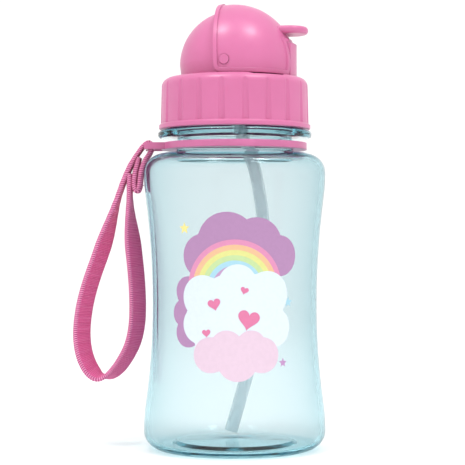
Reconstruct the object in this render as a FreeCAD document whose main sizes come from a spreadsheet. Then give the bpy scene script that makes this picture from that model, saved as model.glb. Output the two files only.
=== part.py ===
import FreeCAD, Part
import math
import os
import re

import Sketcher
from FreeCAD import Placement, Rotation, Vector

# Child's flip-visor straw bottle: a waisted see-through bottle with a threaded neck, a fluted screw
# cap whose domed visor swings back off a folding silicone spout, a drinking straw, a strap ring
# that turns freely in the neck groove, and a loop of woven webbing sewn round the ring's bar.
# Millimetres, +Z up, origin at the centre of the foot. The front faces -Y.

SIZES = [
    # Shared
    ("edge_break", 0.3, "small bevel on moulded edges"),
    ("trim_margin", 3.0, "how far a cutting outline reaches past what it cuts"),
    # Bottle, outside
    ("foot_radius", 27.8, "outer edge of the flat foot ring"),
    ("foot_inner_radius", 24.0, "inner edge of the flat foot ring"),
    ("punt_radius", 22.4, "edge of the pushed-up base"),
    ("punt_step", 1.1, "height of that edge"),
    ("punt_rise", 2.5, "height of the base at the middle"),
    ("base_corner", 7.0, "rounding between foot and side"),
    ("belly_radius", 34.8, "widest, just above the base"),
    ("belly_top", 8.0, "top of the short upright band"),
    ("bulge_radius", 70.0, "rounding of belly and shoulder into the waist"),
    ("lower_blend_radius", 34.08, "where the belly runs into the waist"),
    ("lower_blend_height", 18.0, "the same point's height"),
    ("waist_radius", 31.45, "narrowest"),
    ("waist_height", 55.0, "height of the narrowest point"),
    ("lower_sweep", 257.8, "radius of the hollow curve under the waist"),
    ("upper_sweep", 312.6, "radius of the hollow curve over the waist"),
    ("upper_blend_radius", 34.15, "where the waist runs into the shoulder"),
    ("upper_blend_height", 96.0, "the same point's height"),
    ("shoulder_radius", 34.76, "widest at the shoulder"),
    ("shoulder_height", 105.2, "height of that widest point"),
    ("shoulder_corner", 7.5, "rounding over the shoulder"),
    ("wall", 2.0, "wall of the bottle"),
    ("base_wall", 2.2, "thickness of the base"),
    # Neck
    ("groove_radius", 22.1, "neck groove the strap ring turns in"),
    ("groove_fillet", 1.3, "rounding at the foot of the groove"),
    ("groove_bottom", 113.1, "height where the shoulder meets the groove"),
    ("groove_bore", 20.2, "bore behind the groove"),
    ("collar_radius", 29.4, "support bead under the cap"),
    ("collar_bottom", 118.4, "underside of the bead"),
    ("collar_top", 121.2, "top of the bead"),
    ("collar_round", 1.1, "rounding of the bead's edge"),
    ("neck_root_radius", 24.6, "neck between the threads"),
    ("neck_crest_radius", 25.9, "over the threads"),
    ("neck_bore", 22.4, "bore of the mouth"),
    ("rim_height", 138.0, "top of the mouth"),
    ("rim_bevel", 0.5, "bevel round the mouth"),
    ("thread_lead", 6.0, "rise in one turn"),
    ("thread_root", 0.3, "how deep a thread is rooted in its wall"),
    ("thread_turns", 1.25, "turns on the neck and in the cap"),
    ("thread_foot_width", 1.8, "thread width at its foot"),
    ("thread_tip_width", 0.9, "thread width at its tip"),
    ("neck_thread_start", 125.6, "height of the neck thread's lower end"),
    ("thread_drop", 1.95, "how far the cap's thread lies under the neck's"),
    # Screw cap
    ("cap_bottom", 121.9, "lower edge of the cap"),
    ("cap_bore", 26.2, "bore between the cap's threads"),
    ("cap_crest_radius", 25.0, "inside the cap's threads"),
    ("skirt_bead_radius", 29.0, "bead round the lower edge"),
    ("skirt_bead_height", 1.5, "height of the bead"),
    ("skirt_low_radius", 28.3, "grip above the bead"),
    ("skirt_low_height", 2.1, "where the grip starts"),
    ("skirt_top_radius", 27.95, "grip under the rounded top edge"),
    ("skirt_top_height", 16.2, "where the rounded edge starts"),
    ("cap_corner", 3.4, "rounded top edge"),
    ("deck_edge_radius", 24.2, "inner edge of the raised border"),
    ("deck_top", 19.6, "top of the border over the lower edge"),
    ("moat_floor", 19.0, "sunken floor the visor sweeps over"),
    ("deck_underside", 17.7, "underside of the deck"),
    ("inner_bevel", 1.0, "bevel inside the cap's top corner"),
    ("boss_bore", 8.3, "sleeve under the deck for the spout's flange"),
    ("boss_radius", 9.9, "outside of that sleeve"),
    ("boss_bottom", 13.9, "lower end of that sleeve"),
    ("spout_hole", 5.2, "hole through the deck"),
    ("flute_count", 20, "grip flutes"),
    ("flute_radius", 1.6, "radius of a flute"),
    ("flute_offset", 29.2, "flute centre from the axis"),
    ("dome_centre", 24.5, "dome centre over the lower edge"),
    ("dome_radius", 21.0, "fixed rear dome"),
    ("dome_foot_radius", 20.3, "foot of the dome, drawn in to clear the visor's lower edge"),
    ("dome_wall", 1.8, "wall of the dome"),
    ("dome_edge", 1.0, "how far behind the pivots the dome stops"),
    ("cheek_reach", 6.0, "how far in front of the pivots the cheeks reach"),
    ("cheek_top", 4.0, "top of the cheeks over the pivots"),
    ("cheek_slope", 8.5, "height where dome edge and cheek top meet"),
    ("lip_inner_radius", 21.7, "front lip, inside"),
    ("lip_outer_radius", 23.8, "front lip, outside"),
    ("lip_half_width", 7.5, "front lip, half its width"),
    ("lip_top", 7.6, "front lip's top over the pivots"),
    ("pivot_radius", 1.85, "pivot pin"),
    ("pivot_end", 23.55, "pin's end from the middle"),
    ("pivot_root", 20.2, "pin's root inside the cheek"),
    ("vent_distance", 14.0, "vent hole behind the axis"),
    ("vent_radius", 1.0, "vent hole"),
    ("cap_yaw", 10.0, "how far the cap stands turned from square, degrees"),
    # Visor, measured from the dome centre
    ("visor_inner_radius", 21.4, "inside of the visor"),
    ("visor_radius", 23.3, "outside of the visor"),
    ("rim_radius", 23.9, "outside of its raised rim"),
    ("rim_seat_radius", 22.6, "how deep the rim is rooted"),
    ("rim_width", 1.6, "width of the rim"),
    ("visor_bottom", 4.7, "lower edge under the pivots"),
    ("visor_back_low", 4.0, "rear edge behind the pivots, at the bottom"),
    ("visor_back_high", 5.6, "rear edge behind the pivots, at the top"),
    ("visor_corner", 3.0, "rounded rear corner"),
    ("visor_reach", 30.0, "size of the trimming outline"),
    ("notch_half_width", 7.8, "notch round the front lip"),
    ("notch_top", 7.75, "notch top over the pivots"),
    ("pivot_hole_radius", 1.92, "hole for the pivot pin"),
    ("tab_half_width", 7.0, "thumb tab"),
    ("tab_centre", 21.3, "centre of the tab's round end"),
    ("tab_root", 16.0, "where the tab starts inside the wall"),
    ("tab_bottom", 11.4, "underside of the tab over the pivots"),
    ("tab_thickness", 2.9, "thickness of the tab"),
    ("tab_edge", 1.3, "rounding of the tab's edges"),
    # Spout, measured from the dome centre
    ("spout_pivot_drop", 2.4, "bend of the spout under the dome centre"),
    ("spout_radius", 3.6, "spout"),
    ("spout_bore", 2.0, "way through the spout"),
    ("spout_straight", 15.0, "straight part above the bend"),
    ("bite_radius", 4.2, "bite bulge"),
    ("bite_height", 17.4, "height of the bulge"),
    ("spout_length", 20.4, "bend to mouth"),
    ("mouth_height", 19.4, "where the mouth starts to round off"),
    ("mouth_side", 4.0, "radius there"),
    ("mouth_radius", 3.1, "radius at the very end"),
    ("spout_fold", 68.0, "lean when folded under the visor, degrees"),
    ("straw_socket", 2.53, "socket for the straw"),
    ("cup_radius", 4.3, "cup the spout bends in"),
    ("cup_top", 5.0, "cup rim under the dome centre"),
    ("cup_side", 5.6, "where the cup's floor starts"),
    ("cup_floor", 6.4, "cup floor"),
    ("base_lip_radius", 6.0, "lip over the deck"),
    ("base_lip_under", 5.45, "underside of that lip"),
    ("base_neck_radius", 5.15, "neck through the deck"),
    ("flange_radius", 8.2, "flange under the deck"),
    ("flange_top", 6.85, "top of the flange"),
    ("flange_bottom", 8.35, "underside of the flange"),
    ("stub_radius", 4.0, "outside of the straw socket"),
    ("stub_bottom", 15.0, "lower end of the socket"),
    ("retainer_bore", 4.3, "retaining ring, bore"),
    ("retainer_radius", 8.25, "retaining ring, outside"),
    ("retainer_top", 8.4, "retaining ring, top under the dome centre"),
    ("retainer_height", 2.0, "retaining ring, height"),
    # Vent valve, measured from the deck's underside
    ("valve_stem", 0.94, "stem"),
    ("valve_bulb", 1.5, "bulb over the deck"),
    ("valve_bulb_height", 0.9, "height of the bulb"),
    ("valve_flap", 3.0, "flap under the deck"),
    ("valve_flap_face", 2.5, "flap, at its lower face"),
    ("valve_flap_height", 0.7, "thickness of the flap"),
    ("valve_gap", 0.05, "play either side of the deck"),
    # Neck seal
    ("seal_inner_radius", 21.2, "seal, inside"),
    ("seal_outer_radius", 24.9, "seal, outside"),
    ("seal_bottom", 138.05, "underside of the seal"),
    ("seal_height", 1.5, "thickness of the seal"),
    # Straw
    ("straw_radius", 2.5, "straw, outside"),
    ("straw_bore", 1.9, "straw, inside"),
    ("straw_top", 139.75, "upper end"),
    ("straw_neck_corner", 125.7, "height of the first bend"),
    ("straw_lean_out", 7.0, "second bend, sideways"),
    ("straw_lean_height", 110.0, "second bend, height"),
    ("straw_belly_out", 16.0, "corner of the long bow, sideways"),
    ("straw_belly_height", 67.5, "corner of the long bow, height"),
    ("straw_end_out", -1.4, "lower end, sideways"),
    ("straw_end_height", 6.4, "lower end, height"),
    ("straw_neck_bend", 25.0, "radius of the first bend"),
    ("straw_lean_bend", 60.0, "radius of the second bend"),
    ("straw_belly_bend", 150.0, "radius of the long bow"),
    # Strap ring
    ("ring_bottom", 114.1, "underside of the strap ring"),
    ("ring_height", 2.6, "thickness of the strap ring"),
    ("ring_bore", 22.5, "bore round the neck groove"),
    ("ring_radius", 27.6, "outside of the ring"),
    ("rail_end", 34.4, "outer end of the two rails"),
    ("rail_inner", 5.4, "inner face of a rail"),
    ("rail_outer", 7.7, "outer face of a rail"),
    ("rail_root", 24.0, "where the rails start in the ring"),
    ("slot_start", 27.9, "slot edge next to the ring"),
    ("bar_distance", 33.3, "webbing bar from the axis"),
    ("bar_height", 1.0, "bar centre over the ring's underside"),
    ("bar_radius", 1.0, "bar"),
    ("bar_root", 0.5, "how far each end of the bar is rooted in its rail"),
    # Wrist strap
    ("strap_width", 10.0, "webbing width"),
    ("strap_thickness", 1.5, "webbing thickness"),
]

# Corners of the webbing's middle line in the plane of the loop: name, sideways, height, bend.
# A corner with no bend of its own takes the roundest arc that its two runs have room for. The
# others lie against something: the bar, the bottle's shoulder, or the webbing's own layers.
STRAP_CORNERS = [
    ("inner_end", -40.35, 103.3, None),
    ("inner_lean", -40.35, 95.0, None),
    ("inner_upper", -39.7, 84.0, None),
    ("inner_waist", -37.0, 60.0, None),
    ("loop_inner", -37.5, 42.5, None),
    ("loop_fall", -43.4, 31.2, None),
    ("low_inner", -48.8, 26.6, None),
    ("low_outer", -53.8, 27.6, None),
    ("loop_rise", -57.9, 35.0, None),
    ("loop_outer", -59.0, 45.5, None),
    ("outer_low", -56.6, 60.0, None),
    ("outer_middle", -49.6, 79.0, None),
    ("outer_upper", -42.3, 104.4, 15.0),
    ("fold_outer", -33.93, 117.81, 1.9),
    ("fold_inner", -30.58, 115.68, 1.9),
    ("shoulder_turn", -35.81, 107.75, 8.55),
    ("hem_inner", -36.4, 98.4, 1.0),
    ("hem_outer", -38.46, 98.4, 1.0),
    ("hem_end", -37.9, 106.4, None),
]
# Share of the shorter of its two runs that a free bend takes up.
BEND_SHARE = 0.45

doc = FreeCAD.newDocument("StrawBottle")
sheet = doc.addObject("Spreadsheet::Sheet", "Sizes")


def strap_bends():
    """Radius at every corner of the webbing: its own, or the roundest the runs have room for."""
    points = [Vector(out, height, 0) for _, out, height, _ in STRAP_CORNERS]
    bends = [None]
    for here in range(1, len(points) - 1):
        name, _, _, bend = STRAP_CORNERS[here]
        back, on = points[here - 1] - points[here], points[here + 1] - points[here]
        turn = math.pi - back.getAngle(on)
        if bend is None:
            bend = round(BEND_SHARE * min(back.Length, on.Length) / math.tan(turn / 2), 2)
        print("webbing %-14s turns %5.1f degrees, radius %6.2f" % (name, math.degrees(turn), bend))
        bends.append(bend)
    return bends + [None]


def fill_sheet():
    """Write every driving size into the sheet, each under its own name."""
    rows = list(SIZES)
    for (name, out, height, _), bend in zip(STRAP_CORNERS, strap_bends()):
        rows.append(("strap_" + name + "_out", out, "webbing corner, sideways"))
        rows.append(("strap_" + name + "_height", height, "webbing corner, height"))
        if bend:
            rows.append(("strap_" + name + "_bend", bend, "webbing corner, radius"))
    for row, (name, value, note) in enumerate(rows, start=1):
        sheet.set("A%d" % row, name)
        sheet.set("B%d" % row, str(value))
        sheet.set("C%d" % row, note)
        sheet.setAlias("B%d" % row, name)
    doc.recompute()


def bound(text):
    """Turn plain size names into references to the sheet."""
    return re.sub(r"[a-z]+(?:_[a-z]+)+|\bwall\b", lambda found: "Sizes." + found.group(), text)


def number(text):
    return float(sheet.evalExpression(bound(text)))


def size(owner, prop, text):
    """Bind one property of an object to the sheet."""
    owner.setExpression(prop, bound(text))


# ---------------------------------------------------------------- sketches

def plane_sketch(body, name, plane, offset="0"):
    """New sketch on one of the body's own origin planes, moved along that plane's normal."""
    sketch = body.newObject("Sketcher::SketchObject", name)
    role = {"XY": "XY_Plane", "XZ": "XZ_Plane", "YZ": "YZ_Plane"}[plane]
    origin_plane = [one for one in body.Origin.OriginFeatures if one.Role == role][0]
    sketch.AttachmentSupport = [(origin_plane, "")]
    sketch.MapMode = "FlatFace"
    size(sketch, "AttachmentOffset.Base.z", offset)
    doc.recompute()
    return sketch


def pin(sketch, geometry, corner, across, up):
    """Hold one point of the sketch at sheet-driven coordinates."""
    for kind, text, axis in (("DistanceX", across, -2), ("DistanceY", up, -1)):
        value = number(text)
        if abs(value) < 1e-9:
            sketch.addConstraint(Sketcher.Constraint("PointOnObject", geometry, corner, axis))
            continue
        index = sketch.addConstraint(Sketcher.Constraint(kind, geometry, corner, value))
        size(sketch, "Constraints[%d]" % index, text)


def arc_between(start, end, radius, side):
    """Arc from start to end, its centre left (+1) or right (-1) of the way."""
    middle = (start + end) * 0.5
    way = end - start
    half = way.Length / 2
    away = Vector(-way.y, way.x, 0).normalize() * side
    centre = middle + away * math.sqrt(max(radius * radius - half * half, 0.0))
    first, last = (start, end) if side > 0 else (end, start)
    angles = [math.atan2(p.y - centre.y, p.x - centre.x) for p in (first, last)]
    return Part.ArcOfCircle(Part.Circle(centre, Vector(0, 0, 1), radius), angles[0], angles[1])


def draw_outline(sketch, corners):
    """Closed outline. A corner is (across, up) or (across, up, radius, side) for an arc after it."""
    points = [Vector(number(corner[0]), number(corner[1]), 0) for corner in corners]
    ends = []
    for here, corner in enumerate(corners):
        start, end = points[here], points[(here + 1) % len(points)]
        if len(corner) == 4:
            shape = arc_between(start, end, number(corner[2]), corner[3])
            index = sketch.addGeometry(shape, False)
            ends.append((index, 1, 2) if corner[3] > 0 else (index, 2, 1))
        else:
            index = sketch.addGeometry(Part.LineSegment(start, end), False)
            ends.append((index, 1, 2))
    for here, (index, first, last) in enumerate(ends):
        following, next_first, _ = ends[(here + 1) % len(ends)]
        sketch.addConstraint(Sketcher.Constraint("Coincident", index, last, following, next_first))
    for here, corner in enumerate(corners):
        index, first, last = ends[here]
        if len(corner) == 4:
            radius = sketch.addConstraint(Sketcher.Constraint("Radius", index, number(corner[2])))
            size(sketch, "Constraints[%d]" % radius, corner[2])
        pin(sketch, index, first, corner[0], corner[1])
    doc.recompute()


def draw_circle(sketch, across, up, radius):
    centre = Vector(number(across), number(up), 0)
    circle = Part.Circle(centre, Vector(0, 0, 1), number(radius))
    index = sketch.addGeometry(circle, False)
    fixed = sketch.addConstraint(Sketcher.Constraint("Radius", index, number(radius)))
    size(sketch, "Constraints[%d]" % fixed, radius)
    pin(sketch, index, 3, across, up)
    doc.recompute()


def rounded_run(corners):
    """Lines and tangent arcs through the given corners, as plain points."""
    points = [Vector(number(across), number(up), 0) for across, up, bend in corners]
    touches = []
    for here in range(1, len(points) - 1):
        back = (points[here - 1] - points[here]).normalize()
        on = (points[here + 1] - points[here]).normalize()
        turn = math.pi - back.getAngle(on)
        reach = number(corners[here][2]) * math.tan(turn / 2)
        side = 1 if back.x * on.y - back.y * on.x < 0 else -1
        touches.append((points[here] + back * reach, points[here] + on * reach, side))
    return points, touches


def draw_run(sketch, corners):
    """Open run of straight pieces with a sheet-driven round bend at every inner corner."""
    points, touches = rounded_run(corners)
    stops = [points[0]] + [p for touch in touches for p in touch[:2]] + [points[-1]]
    lines = [sketch.addGeometry(Part.LineSegment(stops[i], stops[i + 1]), False)
             for i in range(0, len(stops), 2)]
    marks = [sketch.addGeometry(Part.Point(point), True) for point in points]
    for mark, (across, up, bend) in zip(marks, corners):
        pin(sketch, mark, 1, across, up)
    for here, line in enumerate(lines):
        for mark in (marks[here], marks[here + 1]):
            if mark == marks[0]:
                sketch.addConstraint(Sketcher.Constraint("Coincident", line, 1, mark, 1))
            elif mark == marks[-1]:
                sketch.addConstraint(Sketcher.Constraint("Coincident", line, 2, mark, 1))
            else:
                sketch.addConstraint(Sketcher.Constraint("PointOnObject", mark, 1, line))
    for here, (start, end, side) in enumerate(touches):
        text = corners[here + 1][2]
        arc = sketch.addGeometry(arc_between(start, end, number(text), side), False)
        first, last = (1, 2) if side > 0 else (2, 1)
        sketch.addConstraint(Sketcher.Constraint("Tangent", lines[here], 2, arc, first))
        sketch.addConstraint(Sketcher.Constraint("Tangent", arc, last, lines[here + 1], 1))
        fixed = sketch.addConstraint(Sketcher.Constraint("Radius", arc, number(text)))
        size(sketch, "Constraints[%d]" % fixed, text)
    doc.recompute()


# ---------------------------------------------------------------- features

def new_body(label, height="0", yaw="0"):
    """Body in its own frame, standing at the given height and turned about Z."""
    body = doc.addObject("PartDesign::Body", label)
    body.Label = label
    body.Placement = Placement(Vector(0, 0, 0), Rotation(Vector(0, 0, 1), 1))
    size(body, "Placement.Base.z", height)
    size(body, "Placement.Rotation.Angle", yaw)
    doc.recompute()
    return body


def spin(body, name, corners):
    """Solid of revolution about the body's Z axis."""
    sketch = plane_sketch(body, name + "_section", "XZ")
    draw_outline(sketch, corners)
    feature = body.newObject("PartDesign::Revolution", name)
    feature.Profile = sketch
    feature.ReferenceAxis = (sketch, ["V_Axis"])
    feature.Angle = 360
    doc.recompute()
    return feature


def grow(body, name, sketch, length, both_ways=False, backwards=False):
    """Pad of a sketch."""
    feature = body.newObject("PartDesign::Pad", name)
    feature.Profile = sketch
    feature.Midplane = both_ways
    feature.Reversed = backwards
    size(feature, "Length", length)
    doc.recompute()
    return feature


def carve(body, name, sketch, length, both_ways=False, backwards=False):
    """Pocket of a sketch, checked to have taken material away."""
    before = body.Shape.Volume
    feature = body.newObject("PartDesign::Pocket", name)
    feature.Profile = sketch
    feature.Midplane = both_ways
    feature.Reversed = backwards
    size(feature, "Length", length)
    doc.recompute()
    if not body.Shape.Volume < before - 1e-3:
        raise RuntimeError(name + " removed nothing")
    return feature


def thread(body, name, foot, tip, start):
    """Right-handed helical ridge on the wall at radius foot, reaching to radius tip."""
    root = "(%s) + thread_root * ((%s) - (%s)) / abs((%s) - (%s))" % (foot, foot, tip, foot, tip)
    sketch = plane_sketch(body, name + "_section", "XZ")
    draw_outline(sketch, [
        (root, start + " - thread_foot_width / 2"),
        (tip, start + " - thread_tip_width / 2"),
        (tip, start + " + thread_tip_width / 2"),
        (root, start + " + thread_foot_width / 2"),
    ])
    feature = body.newObject("PartDesign::AdditiveHelix", name)
    feature.Profile = sketch
    feature.ReferenceAxis = (sketch, ["V_Axis"])
    feature.Mode = "pitch-turns-angle"
    feature.LeftHanded = False
    feature.Reversed = False
    size(feature, "Pitch", "thread_lead")
    size(feature, "Turns", "thread_turns")
    doc.recompute()
    return feature


# ---------------------------------------------------------------- pieces

def make_bottle():
    body = new_body("bottle")
    spin(body, "vessel", [
        ("0", "punt_rise"), ("punt_radius", "punt_step"), ("foot_inner_radius", "0"),
        ("foot_radius", "0", "base_corner", 1),
        ("belly_radius", "base_corner"),
        ("belly_radius", "belly_top", "bulge_radius", 1),
        ("lower_blend_radius", "lower_blend_height", "lower_sweep", -1),
        ("waist_radius", "waist_height", "upper_sweep", -1),
        ("upper_blend_radius", "upper_blend_height", "bulge_radius", 1),
        ("shoulder_radius", "shoulder_height", "shoulder_corner", 1),
        ("shoulder_radius - shoulder_corner", "shoulder_height + shoulder_corner"),
        ("groove_radius + groove_fillet", "groove_bottom", "groove_fillet", -1),
        ("groove_radius", "groove_bottom + groove_fillet"),
        ("groove_radius", "collar_bottom"),
        ("collar_radius - collar_round", "collar_bottom", "collar_round", 1),
        ("collar_radius", "collar_bottom + collar_round"),
        ("collar_radius", "collar_top - collar_round", "collar_round", 1),
        ("collar_radius - collar_round", "collar_top"),
        ("neck_root_radius", "collar_top"),
        ("neck_root_radius", "rim_height - rim_bevel"),
        ("neck_root_radius - rim_bevel", "rim_height"),
        ("neck_bore + rim_bevel", "rim_height"),
        ("neck_bore", "rim_height - rim_bevel"),
        ("neck_bore", "collar_bottom + neck_bore - groove_bore"),
        ("groove_bore", "collar_bottom"),
        ("groove_bore", "groove_bottom"),
        ("groove_bore + wall", "shoulder_height + shoulder_corner - wall"),
        ("shoulder_radius - shoulder_corner", "shoulder_height + shoulder_corner - wall",
         "shoulder_corner - wall", -1),
        ("shoulder_radius - wall", "shoulder_height", "bulge_radius - wall", -1),
        ("upper_blend_radius - wall", "upper_blend_height", "upper_sweep + wall", 1),
        ("waist_radius - wall", "waist_height", "lower_sweep + wall", 1),
        ("lower_blend_radius - wall", "lower_blend_height", "bulge_radius - wall", -1),
        ("belly_radius - wall", "belly_top"),
        ("belly_radius - wall", "base_corner", "base_corner - wall", -1),
        ("foot_radius", "wall"),
        ("foot_inner_radius", "wall"),
        ("punt_radius", "punt_step + base_wall"), ("0", "punt_rise + base_wall"),
    ])
    thread(body, "neck_thread", "neck_root_radius", "neck_crest_radius", "neck_thread_start")
    return body


def make_screw_cap():
    body = new_body("screw_cap", "cap_bottom", "-cap_yaw")
    spin(body, "shell", [
        ("cap_bore", "0"), ("skirt_bead_radius - edge_break", "0"),
        ("skirt_bead_radius", "edge_break"),
        ("skirt_bead_radius", "skirt_bead_height"), ("skirt_low_radius", "skirt_low_height"),
        ("skirt_top_radius", "skirt_top_height", "cap_corner", 1),
        ("skirt_top_radius - cap_corner", "deck_top"), ("deck_edge_radius", "deck_top"),
        ("deck_edge_radius", "moat_floor"), ("dome_foot_radius", "moat_floor"),
        ("dome_radius", "dome_centre", "dome_radius", 1),
        ("0", "dome_centre + dome_radius"),
        ("0", "dome_centre + dome_radius - dome_wall", "dome_radius - dome_wall", -1),
        ("dome_radius - dome_wall", "dome_centre"), ("dome_foot_radius - dome_wall", "moat_floor"),
        ("spout_hole", "moat_floor"), ("spout_hole", "deck_underside"),
        ("boss_bore", "deck_underside"), ("boss_bore", "boss_bottom"),
        ("boss_radius", "boss_bottom"), ("boss_radius", "deck_underside"),
        ("cap_bore - inner_bevel", "deck_underside"),
        ("cap_bore", "deck_underside - inner_bevel"),
    ])
    front = plane_sketch(body, "dome_front_outline", "XZ")
    draw_outline(front, [
        ("-dome_edge", "dome_centre + cheek_slope"), ("cheek_reach", "dome_centre + cheek_top"),
        ("cheek_reach", "moat_floor"), ("dome_radius", "moat_floor"),
        ("dome_radius", "deck_top"), ("dome_radius + trim_margin", "deck_top"),
        ("dome_radius + trim_margin", "dome_centre + dome_radius + trim_margin"),
        ("-dome_edge", "dome_centre + dome_radius + trim_margin"),
    ])
    carve(body, "dome_front", front, "2 * (dome_radius + trim_margin)", both_ways=True)
    lip = plane_sketch(body, "front_lip_outline", "XY", "moat_floor")
    inner = "sqrt(lip_inner_radius ^ 2 - lip_half_width ^ 2)"
    outer = "sqrt(lip_outer_radius ^ 2 - lip_half_width ^ 2)"
    draw_outline(lip, [
        (inner, "-lip_half_width"), (outer, "-lip_half_width", "lip_outer_radius", 1),
        (outer, "lip_half_width"), (inner, "lip_half_width", "lip_inner_radius", -1),
    ])
    grow(body, "front_lip", lip, "dome_centre + lip_top - moat_floor")
    # The plane's normal is -Y, so a positive offset lies on the near side.
    for name, offset, backwards in (("near_pivot", "pivot_root", False),
                                    ("far_pivot", "-pivot_root", True)):
        round_pin = plane_sketch(body, name + "_outline", "XZ", offset)
        draw_circle(round_pin, "0", "dome_centre", "pivot_radius")
        grow(body, name, round_pin, "pivot_end - pivot_root", backwards=backwards)
    vent = plane_sketch(body, "vent_outline", "XY", "deck_underside - trim_margin")
    draw_circle(vent, "-vent_distance", "0", "vent_radius")
    carve(body, "vent", vent, "moat_floor - deck_underside + 2 * trim_margin", backwards=True)
    flute = plane_sketch(body, "flute_outline", "XY", "skirt_low_height")
    draw_circle(flute, "0", "-flute_offset", "flute_radius")
    first = carve(body, "flute", flute, "deck_top", backwards=True)
    pattern = body.newObject("PartDesign::PolarPattern", "flutes")
    pattern.Originals = [first]
    pattern.Axis = ([one for one in body.Origin.OriginFeatures if one.Role == "Z_Axis"][0], [""])
    pattern.Angle = 360
    size(pattern, "Occurrences", "flute_count")
    body.Tip = pattern
    doc.recompute()
    thread(body, "cap_thread", "cap_bore", "cap_crest_radius",
           "neck_thread_start - thread_drop - cap_bottom")
    return body


def make_spout_base():
    body = new_body("spout_base", "cap_bottom + dome_centre", "-cap_yaw")
    spin(body, "moulding", [
        ("straw_socket", "-stub_bottom"), ("stub_radius", "-stub_bottom"),
        ("stub_radius", "-flange_bottom"), ("flange_radius", "-flange_bottom"),
        ("flange_radius", "-flange_top"), ("base_neck_radius", "-flange_top"),
        ("base_neck_radius", "-base_lip_under"), ("base_lip_radius", "-base_lip_under"),
        ("base_lip_radius", "-cup_top"), ("cup_radius", "-cup_top"),
        ("cup_radius", "-cup_side"), ("straw_socket", "-cup_floor"),
    ])
    return body


def make_spout_tip():
    body = new_body("spout_tip", "cap_bottom + dome_centre - spout_pivot_drop")
    spin(body, "tube", [
        ("spout_bore", "-sqrt(spout_radius ^ 2 - spout_bore ^ 2)", "spout_radius", 1),
        ("spout_radius", "0"), ("spout_radius", "spout_straight"),
        ("bite_radius", "bite_height"), ("mouth_side", "mouth_height"),
        ("mouth_radius", "spout_length"), ("spout_bore", "spout_length"),
    ])
    # Leaning forwards about the pivot line, which is turned with the cap.
    body.Placement = Placement(body.Placement.Base, Rotation(Vector(0, 1, 0), 1))
    size(body, "Placement.Rotation.Axis.x", "sin(cap_yaw * 1 deg)")
    size(body, "Placement.Rotation.Axis.y", "cos(cap_yaw * 1 deg)")
    size(body, "Placement.Rotation.Axis.z", "0")
    size(body, "Placement.Rotation.Angle", "spout_fold")
    doc.recompute()
    return body


def make_ring_shaped():
    """The two plain rings: the one that clamps the spout's flange, and the neck seal."""
    retainer = new_body("spout_retainer", "cap_bottom + dome_centre - retainer_top")
    spin(retainer, "ring", [
        ("retainer_bore", "-retainer_height"), ("retainer_radius - edge_break", "-retainer_height"),
        ("retainer_radius", "-retainer_height + edge_break"), ("retainer_radius", "0"),
        ("retainer_bore", "0"),
    ])
    seal = new_body("neck_seal", "seal_bottom")
    spin(seal, "washer", [
        ("seal_inner_radius", "0"), ("seal_outer_radius", "0"),
        ("seal_outer_radius", "seal_height"), ("seal_inner_radius", "seal_height"),
    ])
    return retainer, seal


def make_vent_valve():
    body = new_body("vent_valve", "cap_bottom + deck_underside", "-cap_yaw")
    spin(body, "mushroom", [
        ("0", "-valve_gap - valve_flap_height"),
        ("valve_flap_face", "-valve_gap - valve_flap_height"),
        ("valve_flap", "-valve_gap"), ("valve_stem", "-valve_gap"),
        ("valve_stem", "moat_floor - deck_underside + valve_gap"),
        ("valve_bulb", "moat_floor - deck_underside + valve_gap"),
        ("valve_stem", "moat_floor - deck_underside + valve_gap + valve_bulb_height"),
        ("0", "moat_floor - deck_underside + valve_gap + valve_bulb_height"),
    ])
    size(body, "Placement.Base.x", "-vent_distance * cos(cap_yaw * 1 deg)")
    size(body, "Placement.Base.y", "vent_distance * sin(cap_yaw * 1 deg)")
    doc.recompute()
    return body


def make_straw():
    body = new_body("straw")
    run = plane_sketch(body, "straw_line", "XZ")
    draw_run(run, [
        ("0", "straw_top", None), ("0", "straw_neck_corner", "straw_neck_bend"),
        ("straw_lean_out", "straw_lean_height", "straw_lean_bend"),
        ("straw_belly_out", "straw_belly_height", "straw_belly_bend"),
        ("straw_end_out", "straw_end_height", None),
    ])
    section = plane_sketch(body, "straw_section", "XY", "straw_top")
    draw_circle(section, "0", "0", "straw_radius")
    draw_circle(section, "0", "0", "straw_bore")
    pipe = body.newObject("PartDesign::AdditivePipe", "straw_tube")
    pipe.Profile = section
    pipe.Spine = (run, [])
    doc.recompute()
    return body


def make_strap_ring():
    body = new_body("strap_ring", "ring_bottom")
    ring = plane_sketch(body, "ring_outline", "XY")
    draw_circle(ring, "0", "0", "ring_radius")
    draw_circle(ring, "0", "0", "ring_bore")
    grow(body, "ring", ring, "ring_height")
    rails = plane_sketch(body, "rails_outline", "XY")
    draw_outline(rails, [
        ("-rail_end", "-rail_outer"), ("-rail_root", "-rail_outer"),
        ("-rail_root", "rail_outer"), ("-rail_end", "rail_outer"),
    ])
    grow(body, "rails", rails, "ring_height")
    slot = plane_sketch(body, "slot_outline", "XY")
    draw_outline(slot, [
        ("-rail_end - trim_margin", "-rail_inner"), ("-slot_start", "-rail_inner"),
        ("-slot_start", "rail_inner"), ("-rail_end - trim_margin", "rail_inner"),
    ])
    carve(body, "slot", slot, "ring_height", backwards=True)
    bar = plane_sketch(body, "bar_outline", "XZ")
    draw_circle(bar, "-bar_distance", "bar_height", "bar_radius")
    grow(body, "bar", bar, "2 * (rail_inner + bar_root)", both_ways=True)
    return body


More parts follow.
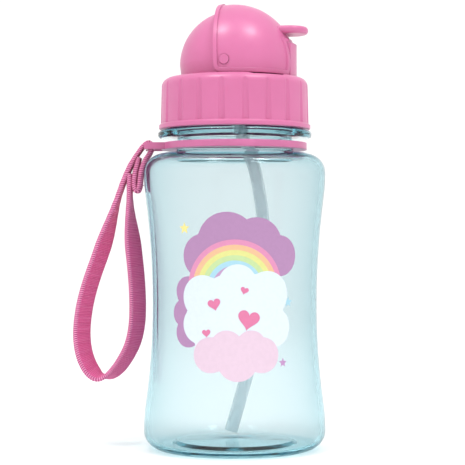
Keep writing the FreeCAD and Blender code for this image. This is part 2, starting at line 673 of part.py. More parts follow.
def make_wrist_strap():
    body = new_body("wrist_strap")
    run = plane_sketch(body, "strap_line", "XZ")
    draw_run(run, [tuple("strap_" + name + part for part in ("_out", "_height", "_bend"))
                   for name, _, _, _ in STRAP_CORNERS])
    section = plane_sketch(body, "strap_section", "XY", "strap_inner_end_height")
    left = "strap_inner_end_out - strap_thickness / 2"
    right = "strap_inner_end_out + strap_thickness / 2"
    draw_outline(section, [
        (left, "-strap_width / 2"), (right, "-strap_width / 2"),
        (right, "strap_width / 2"), (left, "strap_width / 2"),
    ])
    pipe = body.newObject("PartDesign::AdditivePipe", "webbing")
    pipe.Profile = section
    pipe.Spine = (run, [])
    doc.recompute()
    expected = number("strap_width * strap_thickness") * run.Shape.Length
    print("webbing %.1f long, volume %.1f, section times length %.1f" % (
        run.Shape.Length, body.Shape.Volume, expected))
    return body


# ---------------------------------------------------------------- visor

def ball(name, radius):
    sphere = doc.addObject("Part::Sphere", name)
    size(sphere, "Radius", radius)
    return sphere


def joined(kind, name, *members):
    """Part boolean of two or more objects."""
    result = doc.addObject("Part::" + kind, name)
    if kind == "Cut":
        result.Base, result.Tool = members
    else:
        result.Shapes = list(members)
    doc.recompute()
    return result


def side_outline(name, inset):
    """Visor seen from the side, as a bar through the dome, drawn in by the inset."""
    sketch = doc.addObject("Sketcher::SketchObject", name + "_outline")
    sketch.Placement = Placement(Vector(0, 0, 0), Rotation(Vector(1, 0, 0), 90))
    low, corner = "-visor_bottom + " + inset, "(visor_corner - %s)" % inset
    draw_outline(sketch, [
        ("-visor_back_high + " + inset, "visor_reach"),
        ("-visor_back_low + " + inset, low + " + " + corner, corner, 1),
        ("-visor_back_low + %s + %s" % (inset, corner), low),
        ("visor_reach", low), ("visor_reach", "visor_reach"),
    ])
    bar = doc.addObject("Part::Extrusion", name)
    bar.Base = sketch
    bar.DirMode = "Custom"
    bar.Dir = Vector(0, 1, 0)
    bar.Solid = True
    bar.Symmetric = True
    size(bar, "LengthFwd", "2 * visor_reach")
    doc.recompute()
    return bar


def notch_box(name, margin):
    """Space for the front lip, with a margin round it."""
    box = doc.addObject("Part::Box", name)
    size(box, "Length", "visor_reach")
    size(box, "Width", "2 * (notch_half_width + %s)" % margin)
    size(box, "Height", "visor_reach + notch_top + " + margin)
    size(box, "Placement.Base.y", "-notch_half_width - " + margin)
    size(box, "Placement.Base.z", "-visor_reach")
    return box


def make_visor():
    sides = side_outline("visor_side", "0")
    panel = side_outline("visor_panel", "rim_width")
    notch = notch_box("lip_notch", "0")
    wide_notch = notch_box("lip_notch_rim", "rim_width")
    inside = ball("visor_inside", "visor_inner_radius")
    seat = ball("rim_seat", "rim_seat_radius")
    doc.recompute()
    skin = joined("Cut", "visor_skin", ball("visor_outside", "visor_radius"), inside)
    wall_part = joined("MultiCommon", "visor_wall", skin, sides)
    rim_skin = joined("Cut", "rim_skin", ball("rim_outside", "rim_radius"), seat)
    panel_part = joined("Cut", "panel_area", panel, wide_notch)
    rim_area = joined("Cut", "rim_area", sides, panel_part)
    rim = joined("MultiCommon", "visor_rim", rim_skin, rim_area)
    tab_sketch = doc.addObject("Sketcher::SketchObject", "tab_outline")
    size(tab_sketch, "Placement.Base.z", "tab_bottom")
    draw_outline(tab_sketch, [
        ("tab_root", "-tab_half_width"), ("tab_centre", "-tab_half_width", "tab_half_width", 1),
        ("tab_centre + tab_half_width", "0", "tab_half_width", 1),
        ("tab_centre", "tab_half_width"), ("tab_root", "tab_half_width"),
    ])
    tab = doc.addObject("Part::Extrusion", "tab_plate")
    tab.Base = tab_sketch
    tab.DirMode = "Custom"
    tab.Dir = Vector(0, 0, 1)
    tab.Solid = True
    size(tab, "LengthFwd", "tab_thickness")
    doc.recompute()
    rounded = doc.addObject("Part::Fillet", "tab_rounded")
    rounded.Base = tab
    edge = number("tab_edge")
    rounded.Edges = [(index, edge, edge) for index, one in enumerate(tab.Shape.Edges, start=1)
                     if one.BoundBox.ZLength < 1e-6 and one.BoundBox.XMax > number("tab_centre") - 1e-6]
    doc.recompute()
    tab_part = joined("Cut", "tab_trimmed", rounded, seat)
    whole = joined("MultiFuse", "visor_blank", wall_part, rim, tab_part)
    notched = joined("Cut", "visor_notched", whole, notch)
    hole = doc.addObject("Part::Cylinder", "pivot_holes")
    hole.Placement = Placement(Vector(0, 0, 0), Rotation(Vector(1, 0, 0), 90))
    size(hole, "Radius", "pivot_hole_radius")
    size(hole, "Height", "2 * visor_reach")
    size(hole, "Placement.Base.y", "visor_reach")
    doc.recompute()
    visor = joined("Cut", "visor", notched, hole)
    visor.Placement = Placement(Vector(0, 0, 1), Rotation(Vector(0, 0, 1), 1))
    size(visor, "Placement.Base.z", "cap_bottom + dome_centre")
    size(visor, "Placement.Rotation.Angle", "-cap_yaw")
    doc.recompute()
    return visor


# ---------------------------------------------------------------- build and write

def check(parts):
    doc.recompute()
    for one in doc.Objects:
        if "Invalid" in one.State or "Error" in one.State:
            raise RuntimeError("%s: %s" % (one.Label, one.State))
    for part in parts:
        if part.Shape.isNull() or not part.Shape.isValid() or len(part.Shape.Solids) != 1:
            raise RuntimeError("%s is not one good solid" % part.Label)


def main():
    fill_sheet()
    parts = [make_bottle(), make_screw_cap(), make_spout_base(), make_spout_tip(),
             *make_ring_shaped(), make_vent_valve(), make_straw(), make_strap_ring(),
             make_wrist_strap(), make_visor()]
    check(parts)
    os.makedirs("parts", exist_ok=True)
    for part in parts:
        part.Shape.exportStep("parts/%s.step" % part.Label)
        box = part.Shape.BoundBox
        print("%-15s volume %9.1f  x %.1f..%.1f  y %.1f..%.1f  z %.1f..%.1f" % (
            part.Label, part.Shape.Volume, box.XMin, box.XMax, box.YMin, box.YMax, box.ZMin, box.ZMax))


main()
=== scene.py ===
import math

import bmesh
import bpy
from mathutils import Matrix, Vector
from mathutils.bvhtree import BVHTree


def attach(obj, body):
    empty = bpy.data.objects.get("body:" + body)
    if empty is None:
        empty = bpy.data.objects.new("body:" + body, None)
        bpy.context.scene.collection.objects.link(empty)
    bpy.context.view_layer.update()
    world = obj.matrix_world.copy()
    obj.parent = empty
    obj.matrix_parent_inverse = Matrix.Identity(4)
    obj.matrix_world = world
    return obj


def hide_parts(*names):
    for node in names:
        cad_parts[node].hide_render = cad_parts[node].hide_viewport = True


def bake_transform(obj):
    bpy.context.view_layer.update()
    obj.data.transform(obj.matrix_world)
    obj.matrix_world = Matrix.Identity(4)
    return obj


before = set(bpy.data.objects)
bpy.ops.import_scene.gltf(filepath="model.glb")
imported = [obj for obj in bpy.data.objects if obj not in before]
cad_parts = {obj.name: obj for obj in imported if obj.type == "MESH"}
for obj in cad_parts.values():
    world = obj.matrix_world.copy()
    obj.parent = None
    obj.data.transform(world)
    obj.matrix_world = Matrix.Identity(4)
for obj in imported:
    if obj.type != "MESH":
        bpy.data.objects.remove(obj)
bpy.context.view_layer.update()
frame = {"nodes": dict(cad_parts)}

MM = 0.001

# Sizes shared with the part, in metres.
CAP_YAW = math.radians(-10)
STRAP_WIDTH = 10.0 * MM
STRAP_THICKNESS = 1.5 * MM
SPOUT_BASE = Vector((0, 0, 140.6 * MM))
SPOUT_PIVOT = Vector((0, 0, 144.0 * MM))
SPOUT_LEAN = math.radians(68)
SPOUT_REACH = 20.4 * MM

# The spout's radius in millimetres at shares of its length: outside, then down into the bore.
SPOUT_OUTSIDE = [
    (0.0, 3.5), (0.06, 3.6), (0.14, 3.45), (0.22, 3.6), (0.30, 3.45), (0.38, 3.6), (0.62, 3.6),
    (0.74, 3.75), (0.84, 4.15), (0.89, 4.2), (0.94, 4.0), (0.98, 3.6), (1.0, 3.0),
]
SPOUT_BORE = [(1.0, 2.4), (0.985, 2.1), (0.94, 2.0), (0.80, 2.0)]

# The webbing's route in the plane of the loop: sideways and height, in millimetres.
STRAP_ROUTE = [
    (-40.2, 105.0), (-40.35, 95.0), (-39.7, 84.0), (-37.0, 60.0), (-37.5, 42.5), (-43.4, 31.2),
    (-48.8, 26.6), (-53.8, 27.6), (-57.9, 35.0), (-59.0, 45.5), (-56.6, 60.0), (-49.6, 79.0),
    (-42.3, 104.4), (-33.93, 117.81), (-30.58, 115.68), (-35.81, 107.75), (-36.4, 98.4),
    (-38.46, 98.4), (-38.3, 105.4), (-36.5, 111.2),
]

# The loop hangs turned: nothing at the hem's end, the whole turn this much lower.
LOOP_TURN = math.radians(30)
HEM_END = 98 * MM
TURN_DROP = 22 * MM
LOOP_SIDE = -37 * MM

# The webbing's surface, in millimetres along the band and across it from its middle.
BEAD_PERIOD = 0.75
BEAD_SIZE = 0.06
CREASE_PERIOD = 4.3
CREASE_DEPTH = 0.09
SELVEDGE_START = 4.3

# The stitches of the hem.
STITCH_FACE = -35.05 * MM
STITCH_ROWS = (100.6 * MM, 103.4 * MM)
STITCH_LENGTH = 1.2 * MM
STITCH_GAP = 0.5 * MM
STITCH_RADIUS = 0.16 * MM

# Each layer of ink lies this much further out than the one under it.
INK_STEP = 0.05 * MM
INK_THICKNESS = 0.04 * MM

# Sockets of the Mix node in its colour form.
MIX_SHARE, MIX_FIRST, MIX_SECOND, MIX_RESULT = 0, 6, 7, 2


# ---------------------------------------------------------------- materials

def srgb(red, green, blue):
    """Colour from 0..255 display values."""
    def linear(value):
        """Display value to linear light, by the sRGB curve."""
        value = value / 255
        return value / 12.92 if value <= 0.04045 else ((value + 0.055) / 1.055) ** 2.4
    return (linear(red), linear(green), linear(blue), 1.0)


class Nodes:
    """Small helper round one material's node tree."""

    def __init__(self, name):
        self.material = bpy.data.materials.new(name)
        self.material.use_nodes = True
        self.tree = self.material.node_tree
        self.shader = self.tree.nodes["Principled BSDF"]
        self.output = self.tree.nodes["Material Output"]

    def add(self, kind, **values):
        """New node. Each value is set on the socket of that name, or else on the node itself."""
        node = self.tree.nodes.new("ShaderNode" + kind)
        for name, value in values.items():
            if name in node.inputs:
                node.inputs[name].default_value = value
            else:
                setattr(node, name, value)
        return node

    def link(self, source, target):
        self.tree.links.new(source, target)

    def set(self, **values):
        """Plain values on the main shader's sockets."""
        for name, value in values.items():
            self.shader.inputs[name.replace("_", " ")].default_value = value

    def noise(self, scale, detail=3.0, roughness=0.55):
        """Soft noise fixed to the object."""
        place = self.add("TexCoord")
        noise = self.add("TexNoise", Scale=scale, Detail=detail, Roughness=roughness)
        self.link(place.outputs["Object"], noise.inputs["Vector"])
        return noise.outputs["Fac"]

    def ramp(self, source, stops):
        """The source's value turned into colour by (place, colour) stops."""
        ramp = self.add("ValToRGB")
        elements = ramp.color_ramp.elements
        while len(elements) < len(stops):
            elements.new(0.5)
        for element, (place, colour) in zip(elements, stops):
            element.position = place
            element.color = colour
        self.link(source, ramp.inputs["Fac"])
        return ramp.outputs["Color"]

    def wave(self, vector, direction, period, wobble=0.5):
        """Stripes with the given period, in the units of the vector."""
        wave = self.add("TexWave", wave_type="BANDS", bands_direction=direction, wave_profile="SIN",
                        Scale=math.pi / 10 / period, Distortion=wobble, Detail=1.0)
        self.link(vector, wave.inputs["Vector"])
        return wave.outputs["Fac"]

    def math(self, operation, first, second=None):
        """One sum on one or two values. The second may be a plain number."""
        node = self.add("Math", operation=operation)
        self.link(first, node.inputs[0])
        if isinstance(second, float):
            node.inputs[1].default_value = second
        elif second is not None:
            self.link(second, node.inputs[1])
        return node.outputs["Value"]

    def mix(self, share, first, second):
        """The first colour, with the given share of the second over it."""
        node = self.add("Mix", data_type="RGBA")
        self.link(share, node.inputs[MIX_SHARE])
        self.link(first, node.inputs[MIX_FIRST])
        self.link(second, node.inputs[MIX_SECOND])
        return node.outputs[MIX_RESULT]

    def bump(self, source, strength, distance, edge=0.0):
        """Bumps from the source, over edges that look rounded to the given radius."""
        bump = self.add("Bump", Strength=strength, Distance=distance)
        if edge:
            bevel = self.add("Bevel", samples=6, Radius=edge)
            self.link(bevel.outputs["Normal"], bump.inputs["Normal"])
        self.link(source, bump.inputs["Height"])
        self.link(bump.outputs["Normal"], self.shader.inputs["Normal"])


def grey(value):
    return (value, value, value, 1.0)


def moulded_plastic(name, colour, deep, roughness, glow=0.0):
    """Satin moulded plastic: faint colour drift, fine spark-eroded grain, uneven gloss."""
    nodes = Nodes(name)
    nodes.set(Roughness=roughness, IOR=1.5)
    nodes.set(Subsurface_Weight=glow, Subsurface_Scale=3 * MM)
    nodes.set(Subsurface_Radius=(1.0, 0.45, 0.6))
    drift = nodes.noise(scale=45.0)
    nodes.link(nodes.ramp(drift, [(0.3, deep), (0.7, colour)]), nodes.shader.inputs["Base Color"])
    patches = nodes.noise(scale=180.0, detail=4.0)
    gloss = nodes.ramp(patches, [(0.3, grey(roughness - 0.05)), (0.7, grey(roughness + 0.07))])
    nodes.link(gloss, nodes.shader.inputs["Roughness"])
    grain = nodes.noise(scale=2600.0, detail=2.0)
    nodes.bump(grain, strength=0.12, distance=0.04 * MM, edge=0.45 * MM)
    return nodes.material


def clear_bottle():
    """See-through tinted plastic: the wall's own depth makes its edges darker."""
    nodes = Nodes("clear_aqua")
    nodes.set(Base_Color=(0.944, 0.948, 0.950, 1.0), Transmission_Weight=1.0)
    nodes.set(Roughness=0.02, IOR=1.07)
    nodes.set(Coat_Weight=0.5, Coat_IOR=1.5, Coat_Roughness=0.03)
    unevenness = nodes.noise(scale=38.0, detail=2.0)
    nodes.bump(unevenness, strength=0.2, distance=0.2 * MM)
    absorb = nodes.add("VolumeAbsorption", Density=88.0)
    absorb.inputs["Color"].default_value = (0.12, 0.58, 0.66, 1.0)
    nodes.link(absorb.outputs["Volume"], nodes.output.inputs["Volume"])
    clear = nodes.add("BsdfTransparent")
    clear.inputs["Color"].default_value = (0.93, 0.975, 0.98, 1.0)
    rays = nodes.add("LightPath")
    mix = nodes.add("MixShader")
    nodes.link(rays.outputs["Is Shadow Ray"], mix.inputs["Fac"])
    nodes.link(nodes.shader.outputs["BSDF"], mix.inputs[1])
    nodes.link(clear.outputs["BSDF"], mix.inputs[2])
    nodes.link(mix.outputs["Shader"], nodes.output.inputs["Surface"])
    return nodes.material


def translucent(name, colour, deep, roughness, through=0.0, cover=1.0):
    """Milky silicone, or thin straw plastic that covers only part of what is behind it."""
    nodes = Nodes(name)
    nodes.set(Roughness=roughness, IOR=1.42, Transmission_Weight=through, Alpha=cover)
    nodes.set(Subsurface_Weight=0.5, Subsurface_Scale=4 * MM, Subsurface_Radius=(1.0, 1.0, 1.0))
    cloud = nodes.noise(scale=120.0)
    nodes.link(nodes.ramp(cloud, [(0.3, deep), (0.7, colour)]), nodes.shader.inputs["Base Color"])
    nodes.bump(nodes.noise(scale=900.0, detail=2.0), strength=0.1, distance=0.05 * MM)
    return nodes.material


def ink(name, colour):
    """Screen-printed ink: opaque, slightly mottled, a little duller than the bottle."""
    nodes = Nodes("ink_" + name)
    nodes.set(Roughness=0.38, IOR=1.45)
    darker = tuple(channel * 0.965 for channel in colour[:3]) + (1.0,)
    mottle = nodes.noise(scale=700.0, detail=4.0)
    mottled = nodes.ramp(mottle, [(0.35, darker), (0.65, colour)])
    nodes.link(mottled, nodes.shader.inputs["Base Color"])
    nodes.bump(nodes.noise(scale=3000.0, detail=2.0), strength=0.04, distance=0.02 * MM)
    return nodes.material


def webbing_cloth():
    """Woven webbing: fine yarns, a beaded edge, and faint creases across the band, with painted shade
    and painted highlight on the weave, the beads and the creases.
    """
    nodes = Nodes("webbing_cloth")
    nodes.set(Roughness=0.72, IOR=1.45, Sheen_Weight=0.3, Sheen_Roughness=0.4)
    nodes.set(Sheen_Tint=srgb(255, 190, 220))
    band = nodes.add("UVMap", uv_map="band").outputs["UV"]
    split = nodes.add("SeparateXYZ")
    nodes.link(band, split.inputs["Vector"])
    weft = nodes.wave(band, "X", period=0.62)
    warp = nodes.wave(band, "Y", period=0.55)
    yarns = nodes.math("MULTIPLY", weft, warp)
    # The weave's colour follows its relief: painted shade in the gaps between yarns, painted highlight
    # on the yarn crossings.
    face = nodes.ramp(yarns, [
        (0.05, srgb(202, 70, 128)), (0.5, srgb(228, 100, 160)), (1.0, srgb(242, 136, 186))])
    # The beaded edge is painted darker between the beads and lighter on them: painted shade and painted
    # highlight.
    beads = nodes.wave(band, "X", period=BEAD_PERIOD, wobble=1.4)
    bead_shade_and_highlight = nodes.ramp(beads, [
        (0.0, srgb(138, 36, 86)), (0.35, srgb(200, 84, 140)), (1.0, srgb(244, 162, 200))])
    off_middle = nodes.math("ABSOLUTE", split.outputs["Y"])
    selvedge = nodes.math("GREATER_THAN", off_middle, SELVEDGE_START)
    colour = nodes.mix(selvedge, face, bead_shade_and_highlight)
    # Thin paler lines across the band where it creases: painted highlight along the creases.
    crease_highlight_waves = nodes.wave(band, "X", period=CREASE_PERIOD, wobble=0.8)
    crease_highlight_lines = nodes.math("GREATER_THAN", crease_highlight_waves, 0.985)
    crease_highlight_share = nodes.ramp(crease_highlight_lines, [(0.0, grey(0.0)), (1.0, grey(0.22))])
    crease_highlight_colour = nodes.ramp(yarns, [(0.0, srgb(226, 132, 178)), (1.0, srgb(240, 160, 198))])
    nodes.link(nodes.mix(crease_highlight_share, colour, crease_highlight_colour), nodes.shader.inputs["Base Color"])
    nodes.bump(nodes.math("ADD", yarns, beads), strength=0.7, distance=0.16 * MM)
    return nodes.material


def sewing_thread():
    """Spun thread of the stitches, a little uneven in colour."""
    nodes = Nodes("sewing_thread")
    nodes.set(Roughness=0.6)
    tint = nodes.ramp(nodes.noise(scale=900.0), [(0.3, srgb(196, 78, 130)), (0.7, srgb(232, 128, 176))])
    nodes.link(tint, nodes.shader.inputs["Base Color"])
    return nodes.material


def floor_paint():
    """Matt white studio floor, barely mottled."""
    nodes = Nodes("studio_floor")
    nodes.set(Roughness=0.9)
    tone = nodes.ramp(nodes.noise(scale=3.0), [(0.3, grey(0.95)), (0.7, grey(0.97))])
    nodes.link(tone, nodes.shader.inputs["Base Color"])
    return nodes.material


def paint(obj, material):
    obj.data.materials.clear()
    obj.data.materials.append(material)


# ---------------------------------------------------------------- mesh helpers

def show(name, mesh, material):
    """Object that shows the mesh, smooth and in one material."""
    obj = bpy.data.objects.new(name, mesh)
    bpy.context.scene.collection.objects.link(obj)
    for polygon in mesh.polygons:
        polygon.use_smooth = True
    paint(obj, material)
    return obj


def mesh_object(name, verts, faces, material):
    mesh = bpy.data.meshes.new(name)
    mesh.from_pydata([tuple(v) for v in verts], [], faces)
    mesh.update()
    return show(name, mesh, material)


def tube_faces(rows, sides, base=0):
    """Faces of a closed tube whose corners were added ring by ring, starting at index base."""
    faces = []
    for row in range(rows - 1):
        here, there = base + row * sides, base + (row + 1) * sides
        for k in range(sides):
            faces.append((here + k, here + (k + 1) % sides, there + (k + 1) % sides, there + k))
    faces.append(tuple(base + k for k in range(sides))[::-1])
    faces.append(tuple(base + (rows - 1) * sides + k for k in range(sides)))
    return faces


def circle(centre, first, second, radius, sides):
    """Corners of a ring round the centre, turning from the first direction to the second."""
    turns = [2 * math.pi * k / sides for k in range(sides)]
    return [centre + (first * math.cos(turn) + second * math.sin(turn)) * radius for turn in turns]


def curve_points(route, samples=24):
    """Points read off the smooth NURBS line that has the route as its control points."""
    curve = bpy.data.curves.new("route", "CURVE")
    curve.dimensions = "3D"
    spline = curve.splines.new("NURBS")
    spline.points.add(len(route) - 1)
    for point, place in zip(spline.points, route):
        point.co = (*place, 1.0)
    spline.order_u = 3
    spline.use_endpoint_u = True
    spline.resolution_u = samples
    holder = bpy.data.objects.new("route", curve)
    bpy.context.scene.collection.objects.link(holder)
    mesh = bpy.data.meshes.new_from_object(holder)
    points = [vertex.co.copy() for vertex in mesh.vertices]
    bpy.data.objects.remove(holder)
    bpy.data.meshes.remove(mesh)
    return points


def evenly(points, step):
    """The same line with points the given step apart, and its length."""
    reach = [0.0]
    for here, there in zip(points, points[1:]):
        reach.append(reach[-1] + (there - here).length)
    count = max(2, round(reach[-1] / step))
    result, index = [], 0
    for k in range(count + 1):
        goal = reach[-1] * k / count
        while index < len(points) - 2 and reach[index + 1] < goal:
            index += 1
        span = reach[index + 1] - reach[index]
        share = (goal - reach[index]) / span if span else 0.0
        result.append(points[index].lerp(points[index + 1], share))
    return result, reach[-1]


# ---------------------------------------------------------------- wrist strap

def ease(share):
    """Smooth step from 0 to 1."""
    share = min(max(share, 0.0), 1.0)
    return share * share * (3 - 2 * share)


def band_frame(line, index):
    """The band's side and face directions at one point. Below the hem the loop hangs turned."""
    before, after = line[max(index - 1, 0)], line[min(index + 1, len(line) - 1)]
    way = (after - before).normalized()
    hangs = ease((HEM_END - line[index].z) / TURN_DROP)
    turn = LOOP_TURN * hangs * (1.0 if line[index].x < LOOP_SIDE else 0.0)
    side = Vector((math.sin(turn), math.cos(turn), 0))
    side = (side - way * side.dot(way)).normalized()
    return side, side.cross(way)


def band_outline(across_steps=24):
    """The band's section as (across, out) from -1 to 1: along one face, then back along the other."""
    steps = [2 * k / across_steps - 1 for k in range(across_steps + 1)]
    return [(step, 1) for step in steps] + [(-step, -1) for step in steps]


def webbing_surface(line, length, outline):
    """Corners of the webbing, ring by ring, and each one's place on the band in millimetres."""
    half, thick = STRAP_WIDTH / 2, STRAP_THICKNESS / 2
    bead_period = BEAD_PERIOD * MM
    verts, places = [], []
    for index, point in enumerate(line):
        side, face = band_frame(line, index)
        along = length * index / (len(line) - 1)
        # Thicker where the webbing hangs free, pressed thin where it turns over the bar.
        plump = 1.0 + 0.24 * ease((112 * MM - point.z) / (4 * MM))
        crease = CREASE_DEPTH * MM * math.sin(2 * math.pi * along / (CREASE_PERIOD * MM)
                                              + 1.5 * math.sin(along / (9 * MM)))
        for across, out in outline:
            # The two faces' beads lie half a bead apart, so the edge looks plaited.
            shift = bead_period / 2 if out < 0 else 0.0
            bead = math.sin(2 * math.pi * (along + shift) / bead_period)
            edge = ease((abs(across) - 0.80) / 0.20)
            width = half * across + math.copysign(BEAD_SIZE * MM * bead * edge, across)
            height = out * thick * plump * (1 + 0.10 * bead * edge) * (1 - 0.45 * edge * edge)
            verts.append(point + side * width + face * (height + crease * (1 - across * across)))
            places.append(((along + shift) / MM, half * across / MM))
    return verts, places


def wrist_strap():
    """One length of webbing: out of the hem, round the loop, over the bar and back into the hem."""
    route = [Vector((out * MM, 0, height * MM)) for out, height in STRAP_ROUTE]
    line, length = evenly(curve_points(route), 0.3 * MM)
    outline = band_outline()
    verts, places = webbing_surface(line, length, outline)
    obj = mesh_object("wrist_strap_webbing", verts, tube_faces(len(line), len(outline)), webbing_cloth())
    layer = obj.data.uv_layers.new(name="band")
    for loop in obj.data.loops:
        layer.data[loop.index].uv = places[loop.vertex_index]
    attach(obj, "strap")
    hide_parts("wrist_strap")
    seam = strap_seam()


def strap_seam():
    """Two rows of stitches across the hem, on the webbing's outer face."""
    verts, faces = [], []
    for height in STITCH_ROWS:
        for k in range(-2, 3):
            middle = k * (STITCH_LENGTH + STITCH_GAP)
            start = Vector((STITCH_FACE, middle - STITCH_LENGTH / 2, height))
            end = Vector((STITCH_FACE, middle + STITCH_LENGTH / 2, height))
            add_stitch(verts, faces, start, end)
    seam = mesh_object("wrist_strap_stitches", verts, faces, sewing_thread())
    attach(seam, "strap")
    return seam


def add_stitch(verts, faces, start, end, sides=8):
    """Closed round stitch between two points, thinner at its ends."""
    way = (end - start).normalized()
    first = way.orthogonal().normalized()
    second = way.cross(first)
    swells = ((0.0, 0.3), (0.2, 0.9), (0.5, 1.0), (0.8, 0.9), (1.0, 0.3))
    faces.extend(tube_faces(len(swells), sides, base=len(verts)))
    for share, swell in swells:
        verts.extend(circle(start.lerp(end, share), first, second, STITCH_RADIUS * swell, sides))


# ---------------------------------------------------------------- spout

def spout_tube(silicone, sides=40):
    """Soft tube that rises from the base and bends over."""
    lean = Vector((math.sin(SPOUT_LEAN) * math.cos(CAP_YAW),
                   math.sin(SPOUT_LEAN) * math.sin(CAP_YAW), math.cos(SPOUT_LEAN)))
    mouth = SPOUT_PIVOT + lean * SPOUT_REACH
    route = [SPOUT_BASE, SPOUT_BASE.lerp(SPOUT_PIVOT, 0.6), SPOUT_PIVOT.lerp(mouth, 0.06),
             SPOUT_PIVOT.lerp(mouth, 0.3), SPOUT_PIVOT.lerp(mouth, 0.65), mouth]
    line = evenly(curve_points(route), 0.4 * MM)[0]
    pin_side = Vector((-math.sin(CAP_YAW), math.cos(CAP_YAW), 0))
    profile = SPOUT_OUTSIDE + SPOUT_BORE
    verts = []
    for share, radius in profile:
        place = share * (len(line) - 1)
        low = min(int(place), len(line) - 2)
        point = line[low].lerp(line[low + 1], place - low)
        way = (line[low + 1] - line[low]).normalized()
        across = way.cross(pin_side).normalized()
        verts.extend(circle(point, pin_side, across, radius * MM, sides))
    tube = mesh_object("spout_tube", verts, tube_faces(len(profile), sides), silicone)
    smooth = tube.modifiers.new("rounded", "SUBSURF")
    smooth.levels = smooth.render_levels = 1
    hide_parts("spout_tip")
    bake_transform(tube)


# ---------------------------------------------------------------- printed motif

def puffy(centre, circles, steps=150):
    """Outline of a cloud: the outer edge of its overlapping circles, seen from its centre."""
    outline = []
    for k in range(steps):
        angle = 2 * math.pi * k / steps
        way = (math.cos(angle), math.sin(angle))
        reach = 0.0
        for across, up, radius in circles:
            along = (across - centre[0]) * way[0] + (up - centre[1]) * way[1]
            aside = (across - centre[0]) * way[1] - (up - centre[1]) * way[0]
            if abs(aside) < radius:
                reach = max(reach, along + math.sqrt(radius * radius - aside * aside))
        outline.append((centre[0] + way[0] * reach, centre[1] + way[1] * reach))
    return outline


def arch(centre, outer, inner, steps=48):
    """Half ring, feet down."""
    def arc(radius, order):
        """Corners of a half circle, in the given order."""
        return [(centre[0] + radius * math.cos(math.pi * k / steps),
                 centre[1] + radius * math.sin(math.pi * k / steps)) for k in order]
    return arc(outer, range(steps + 1)) + arc(inner, range(steps, -1, -1))


def heart(centre, size, tilt, steps=48):
    """Heart curve, which is 32 units wide before it is brought to size."""
    outline = []
    for k in range(steps):
        angle = 2 * math.pi * k / steps
        across = 16 * math.sin(angle) ** 3
        up = (13 * math.cos(angle) - 5 * math.cos(2 * angle)
              - 2 * math.cos(3 * angle) - math.cos(4 * angle))
        across, up = (across * math.cos(tilt) - up * math.sin(tilt),
                      across * math.sin(tilt) + up * math.cos(tilt))
        outline.append((centre[0] + across * size / 32, centre[1] + up * size / 32))
    return outline


def star(centre, size, points=5):
    """Plump star with one point up."""
    outline = []
    for k in range(2 * points):
        radius = size / 2 if k % 2 == 0 else size / 4.6
        angle = math.pi / 2 + math.pi * k / points
        outline.append((centre[0] + radius * math.cos(angle), centre[1] + radius * math.sin(angle)))
    return outline


def cut_into_cells(mesh):
    """Cuts a flat shape every few millimetres, so that it can bend with the bottle."""
    for axis, step in ((0, 1.5), (2, 3.0)):
        low = min(vert.co[axis] for vert in mesh.verts)
        high = max(vert.co[axis] for vert in mesh.verts)
        normal = Vector((1, 0, 0)) if axis == 0 else Vector((0, 0, 1))
        for k in range(math.ceil(low / step), math.floor(high / step) + 1):
            bmesh.ops.bisect_plane(mesh, geom=mesh.verts[:] + mesh.edges[:] + mesh.faces[:],
                                   plane_co=normal * k * step, plane_no=normal)


def wrap(mesh, layer, skin):
    """Lays a flat shape, in millimetres, round the bottle's front, without stretching it across."""
    outside = 60 * MM
    for vert in mesh.verts:
        across, up = vert.co.x * MM, vert.co.z * MM
        radius = outside - skin.ray_cast(Vector((0, -outside, up)), Vector((0, 1, 0)))[3]
        angle = across / radius
        way = Vector((math.sin(angle), -math.cos(angle), 0))
        start = way * outside + Vector((0, 0, up))
        hit = skin.ray_cast(start, -way)[0]
        vert.co = hit + way * INK_STEP * (1 + layer)


def print_shape(name, outline, material, layer, skin):
    """Thin layer of ink in the outline's shape, laid round the bottle's front."""
    mesh = bmesh.new()
    mesh.faces.new([mesh.verts.new((across, 0, up)) for across, up in outline])
    cut_into_cells(mesh)
    wrap(mesh, layer, skin)
    bmesh.ops.recalc_face_normals(mesh, faces=mesh.faces[:])
    if mesh.faces[0].normal.y > 0:
        bmesh.ops.reverse_faces(mesh, faces=mesh.faces[:])
    bmesh.ops.solidify(mesh, geom=mesh.faces[:], thickness=INK_THICKNESS)
    for edge in mesh.edges:
        edge.smooth = edge.calc_face_angle(0.0) < math.radians(30)
    data = bpy.data.meshes.new(name)
    mesh.to_mesh(data)
    mesh.free()
    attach(show(name, data, material), "vessel")


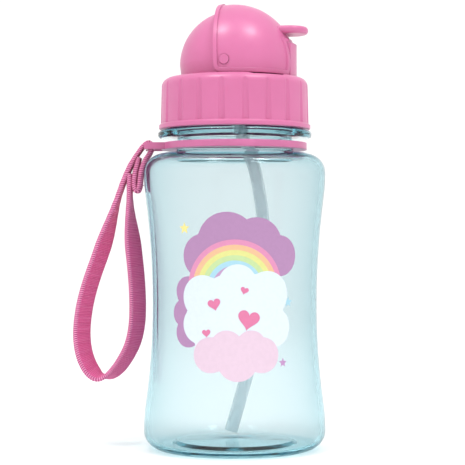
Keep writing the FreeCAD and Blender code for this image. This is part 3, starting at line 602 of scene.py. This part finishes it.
def printed_motif(bottle):
    """Generic clouds, rainbow, hearts and stars, each shape a film of ink of its own."""
    skin = BVHTree.FromObject(bottle, bpy.context.evaluated_depsgraph_get())
    lavender = ink("lavender", srgb(172, 130, 172))
    white = ink("white", srgb(214, 226, 234))
    blush = ink("blush", srgb(218, 193, 210))
    rose = ink("rose", srgb(214, 118, 158))
    print_shape("print_cloud_back", puffy((2, 79), [
        (-3, 79, 11), (8, 78, 10), (-12, 74, 8), (17, 74, 7.5)]), lavender, 0, skin)
    print_shape("print_cloud_left", puffy((-19, 52), [
        (-18, 61, 5.5), (-20, 53, 5), (-18, 46, 5.5)]), lavender, 0, skin)
    band_width = 1.9
    bands = [("pink", (214, 138, 176)), ("orange", (226, 182, 142)), ("yellow", (216, 216, 136)),
             ("green", (188, 212, 154)), ("sky", (162, 206, 222)), ("violet", (186, 148, 188))]
    for k, (name, colour) in enumerate(bands):
        outer = 18.0 - band_width * k
        print_shape("print_rainbow_" + name, arch((0, 62), outer, outer - band_width),
                    ink(name, srgb(*colour)), 1, skin)
    print_shape("print_cloud_front", puffy((0, 54), [
        (0, 54, 14), (-12, 59, 8), (12, 60, 8.5), (-13, 49, 7), (14, 48, 7.5), (1, 64, 7),
        (-7, 42, 8), (8, 42, 8)]), white, 2, skin)
    print_shape("print_cloud_low", puffy((1, 37), [
        (-9, 38, 6.5), (1, 36, 7.5), (10, 38, 6.5), (-3, 41, 6), (6, 41.5, 5.5)]), blush, 3, skin)
    for k, (across, up, size, tilt) in enumerate([
            (5.0, 51.0, 8.0, -0.2), (-7.5, 56.5, 4.8, 0.25), (-10.5, 46.0, 3.2, 0.1),
            (3.5, 61.5, 3.0, -0.3)]):
        print_shape("print_heart_%d" % (k + 1), heart((across, up), size, tilt), rose, 4, skin)
    for k, (across, up, size, colour) in enumerate([
            (-19.5, 84, 4.6, (236, 222, 140)), (21, 57, 4.0, (162, 206, 222)),
            (18.5, 35, 3.6, (184, 140, 186))]):
        print_shape("print_star_%d" % (k + 1), star((across, up), size),
                    ink("star_%d" % (k + 1), srgb(*colour)), 1, skin)


# ---------------------------------------------------------------- stage

def studio_floor():
    """Floor that runs up into a backdrop."""
    width, front, back, bend, height = 6.0, -3.0, 1.6, 0.8, 4.0
    bend_steps = 12
    profile = [(front, 0.0), (back - bend, 0.0)]
    for k in range(1, bend_steps + 1):
        turn = math.radians(90 * k / bend_steps)
        profile.append((back - bend + bend * math.sin(turn), bend - bend * math.cos(turn)))
    profile.append((back, height))
    verts = [(x, y, z) for y, z in profile for x in (-width, width)]
    faces = [(2 * k, 2 * k + 1, 2 * k + 3, 2 * k + 2) for k in range(len(profile) - 1)]
    mesh_object("studio_floor", verts, faces, floor_paint())


def studio_light():
    """Even white surroundings and two soft boxes above the front."""
    world = bpy.data.worlds.new("studio")
    world.use_nodes = True
    surroundings = world.node_tree.nodes["Background"]
    surroundings.inputs["Color"].default_value = grey(1.0)
    surroundings.inputs["Strength"].default_value = 1.0
    bpy.context.scene.world = world
    softbox("key_left", (-0.28, -0.30, 0.95), 2.8)
    softbox("key_right", (0.38, -0.34, 1.00), 3.6)


def softbox(name, place, power, size=0.26):
    """Square lamp that looks at the bottle's middle."""
    light = bpy.data.lights.new(name, "AREA")
    light.shape = "SQUARE"
    light.size = size
    light.energy = power
    lamp = bpy.data.objects.new(name, light)
    lamp.location = place
    aim = Vector((0, 0, 0.1)) - Vector(place)
    lamp.rotation_euler = aim.to_track_quat("-Z", "Y").to_euler()
    bpy.context.scene.collection.objects.link(lamp)


def camera():
    """Level view of the bottle's front, from far enough off to flatten it."""
    lens = bpy.data.cameras.new("camera")
    lens.sensor_width = 36.0
    lens.lens = 113.0
    viewer = bpy.data.objects.new("camera", lens)
    viewer.location = (-0.845 * MM, -560 * MM, 82.5 * MM)
    viewer.rotation_euler = (math.radians(90), 0, 0)
    bpy.context.scene.collection.objects.link(viewer)
    bpy.context.scene.camera = viewer


# ---------------------------------------------------------------- build

studio_floor()
studio_light()
camera()
bpy.context.scene.view_settings.view_transform = "Standard"

nodes = frame["nodes"]
pink = moulded_plastic(
    "pink_plastic", srgb(203, 109, 155), srgb(197, 104, 149), roughness=0.33, glow=0.1)
silicone = translucent(
    "silicone", srgb(226, 228, 228), srgb(216, 220, 220), roughness=0.42, through=0.25)
paint(nodes["bottle"], clear_bottle())
for name in ("screw_cap", "visor", "strap_ring"):
    paint(nodes[name], pink)
for name in ("neck_seal", "spout_base", "vent_valve"):
    paint(nodes[name], silicone)
paint(nodes["spout_retainer"], moulded_plastic(
    "retainer_plastic", srgb(226, 226, 222), srgb(216, 217, 214), roughness=0.5))
paint(nodes["straw"], translucent(
    "straw_plastic", srgb(222, 232, 236), srgb(206, 220, 226), roughness=0.35, cover=0.38))
spout_tube(silicone)
wrist_strap()
printed_motif(nodes["bottle"])
